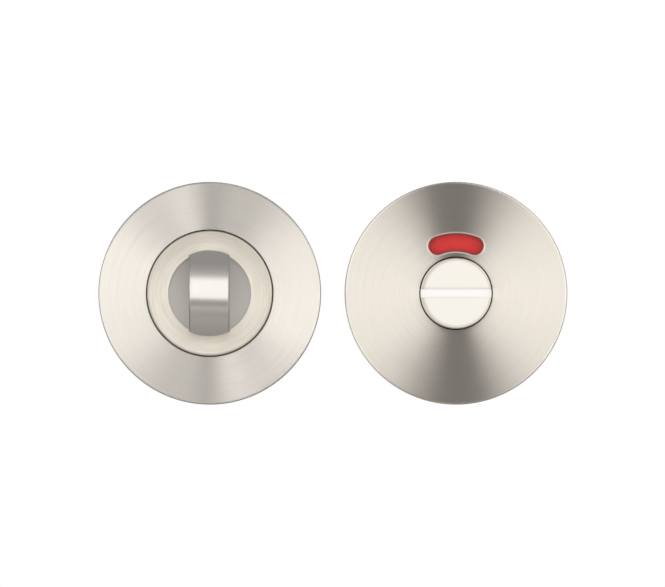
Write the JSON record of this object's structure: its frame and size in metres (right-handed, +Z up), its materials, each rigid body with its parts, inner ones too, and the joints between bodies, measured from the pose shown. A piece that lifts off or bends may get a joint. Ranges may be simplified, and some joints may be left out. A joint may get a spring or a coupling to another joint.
{
  "type": "bathroom turn and indicator release set",
  "caption": "Bathroom door lock furniture: a round rose with a crowned thumb turn grip, and a matching outside rose with a slotted coin release under a red and green indicator window.",
  "frame": {"origin": "where the thumb turn's axis meets the door's face, that is the plane of the roses' backs", "axes": "+X to the right seen from the front, from the turn half to the release half; +Y into the door, so both fronts face -Y; +Z up"},
  "size_m": [0.1095, 0.0772, 0.052],
  "materials": {
    "satin_rose": "satin stainless, circular brushing",
    "satin_knob": "satin stainless, turned ring and brushed grip",
    "satin_coin": "fine satin stainless",
    "cast_plate": "bare die-cast zinc, dull grey",
    "nylon": "natural nylon",
    "spring_steel": "dark spring steel",
    "zinc_plated": "bright zinc plated steel",
    "carrier_plastic": "black moulded plastic",
    "red_film": "red label film",
    "green_film": "green label film",
    "clear_lens": "clear plastic"
  },
  "bodies": {
    "roses": {"turn_rose_cover": "satin_rose", "turn_base_plate": "cast_plate", "turn_bush": "nylon", "turn_wave_washer": "spring_steel", "through_bolts": "zinc_plated", "turn_wood_screws": "zinc_plated", "release_rose_cover": "satin_rose", "release_base_plate": "cast_plate", "window_lens": "clear_lens", "release_bush": "nylon", "release_wave_washer": "spring_steel", "sleeve_nuts": "zinc_plated", "release_wood_screws": "zinc_plated"},
    "knob": {"thumb_turn": "satin_knob", "spindle": "zinc_plated", "spindle_pin": "zinc_plated", "turn_retaining_ring": "spring_steel"},
    "coin": {"coin_release": "satin_coin", "indicator_carrier": "carrier_plastic", "red_labels": "red_film", "green_labels": "green_film", "release_retaining_ring": "spring_steel"}
  },
  "joints": [
    {"name": "turn", "type": "hinge", "parent": "roses", "child": "knob", "pos_m": [0, 0, 0], "axis": [0, 1, 0], "range_deg": [-90, 90]},
    {"name": "release", "type": "hinge", "parent": "roses", "child": "coin", "pos_m": [0.0575, 0, 0], "axis": [0, 1, 0], "range_deg": [-90, 90]}
  ]
}
